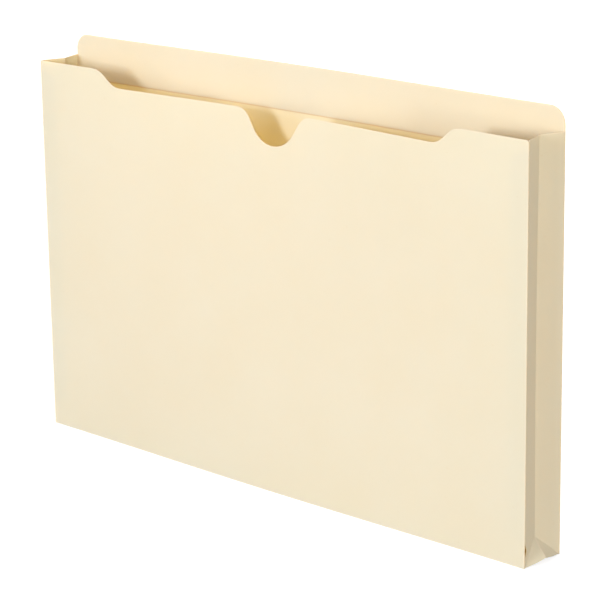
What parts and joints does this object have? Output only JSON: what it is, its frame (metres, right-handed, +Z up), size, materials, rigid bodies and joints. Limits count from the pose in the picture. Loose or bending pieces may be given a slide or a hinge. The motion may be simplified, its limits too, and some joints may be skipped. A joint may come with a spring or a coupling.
{
  "type": "expansion file jacket",
  "caption": "Manila card file jacket with a straight double-ply tab, thumb notch, and gussets and bottom that fold flat.",
  "frame": {"origin": "on the surface the jacket stands on, under the middle of its bounding box", "axes": "+X along the width, to the right seen from the front; +Y from the front panel to the back panel; +Z up"},
  "size_m": [0.3836, 0.0298, 0.2413],
  "materials": {
    "manila": "uncoated manila card, matt, faintly mottled"
  },
  "bodies": {
    "back": {"back_panel": "manila", "tab_reinforcement": "manila", "left_rear_glue_flap": "manila", "right_rear_glue_flap": "manila"},
    "front": {"front_panel": "manila", "left_front_glue_flap": "manila", "right_front_glue_flap": "manila"},
    "bottom_rear": {"bottom_rear_leaf": "manila"},
    "bottom_front": {"bottom_front_leaf": "manila"},
    "left_rear_leaf": {"left_gusset_rear_leaf": "manila"},
    "left_front_leaf": {"left_gusset_front_leaf": "manila"},
    "right_rear_leaf": {"right_gusset_rear_leaf": "manila"},
    "right_front_leaf": {"right_gusset_front_leaf": "manila"},
    "left_rear_tuck": {"left_rear_corner_tuck": "manila"},
    "left_front_tuck": {"left_front_corner_tuck": "manila"},
    "right_rear_tuck": {"right_rear_corner_tuck": "manila"},
    "right_front_tuck": {"right_front_corner_tuck": "manila"}
  },
  "joints": [
    {"name": "jacket_fold", "type": "hinge", "parent": "back", "child": "left_rear_leaf", "pos_m": [-0.18704, 0.01431, 0], "axis": [0, 0, 1], "range_deg": [-10, 60]},
    {"name": "left_gusset_score", "type": "hinge", "parent": "left_rear_leaf", "child": "left_front_leaf", "pos_m": [-0.18256, 0, 0], "axis": [0, 0, -1], "range_deg": [-20, 120]},
    {"name": "left_front_score", "type": "hinge", "parent": "left_front_leaf", "child": "front", "pos_m": [-0.18704, -0.01431, 0], "axis": [0, 0, 1], "range_deg": [-10, 60]},
    {"name": "right_rear_score", "type": "hinge", "parent": "back", "child": "right_rear_leaf", "pos_m": [0.18704, 0.01431, 0], "axis": [0, 0, -1], "range_deg": [-10, 60]},
    {"name": "right_gusset_score", "type": "hinge", "parent": "right_rear_leaf", "child": "right_front_leaf", "pos_m": [0.18256, 0, 0], "axis": [0, 0, 1], "range_deg": [-20, 120]},
    {"name": "bottom_rear_score", "type": "hinge", "parent": "back", "child": "bottom_rear", "pos_m": [0, 0.01431, 0.00028], "axis": [-1, 0, 0], "range_deg": [-10, 60]},
    {"name": "bottom_centre_score", "type": "hinge", "parent": "bottom_rear", "child": "bottom_front", "pos_m": [0, 0, 0.00477], "axis": [1, 0, 0], "range_deg": [-20, 120]},
    {"name": "left_rear_tuck_score", "type": "hinge", "parent": "left_rear_leaf", "child": "left_rear_tuck", "pos_m": [-0.18731, 0.01422, 0.00028], "axis": [-0.224, 0.6707, -0.7071], "range_deg": [-18.8, 112.8]},
    {"name": "left_front_tuck_score", "type": "hinge", "parent": "left_front_leaf", "child": "left_front_tuck", "pos_m": [-0.18731, -0.01422, 0.00028], "axis": [0.224, 0.6707, 0.7071], "range_deg": [-18.8, 112.8]},
    {"name": "right_rear_tuck_score", "type": "hinge", "parent": "right_rear_leaf", "child": "right_rear_tuck", "pos_m": [0.18731, 0.01422, 0.00028], "axis": [-0.224, -0.6707, 0.7071], "range_deg": [-18.8, 112.8]},
    {"name": "right_front_tuck_score", "type": "hinge", "parent": "right_front_leaf", "child": "right_front_tuck", "pos_m": [0.18731, -0.01422, 0.00028], "axis": [0.224, -0.6707, -0.7071], "range_deg": [-18.8, 112.8]}
  ],
  "couplings": [
    {"joint": "left_gusset_score", "follows": "jacket_fold", "ratio": 2},
    {"joint": "left_front_score", "follows": "jacket_fold", "ratio": 1},
    {"joint": "right_rear_score", "follows": "jacket_fold", "ratio": 1},
    {"joint": "right_gusset_score", "follows": "jacket_fold", "ratio": 2},
    {"joint": "bottom_rear_score", "follows": "jacket_fold", "ratio": 1},
    {"joint": "bottom_centre_score", "follows": "jacket_fold", "ratio": 2},
    {"joint": "left_rear_tuck_score", "follows": "jacket_fold", "ratio": 1.88},
    {"joint": "left_front_tuck_score", "follows": "jacket_fold", "ratio": 1.88},
    {"joint": "right_rear_tuck_score", "follows": "jacket_fold", "ratio": 1.88},
    {"joint": "right_front_tuck_score", "follows": "jacket_fold", "ratio": 1.88}
  ]
}
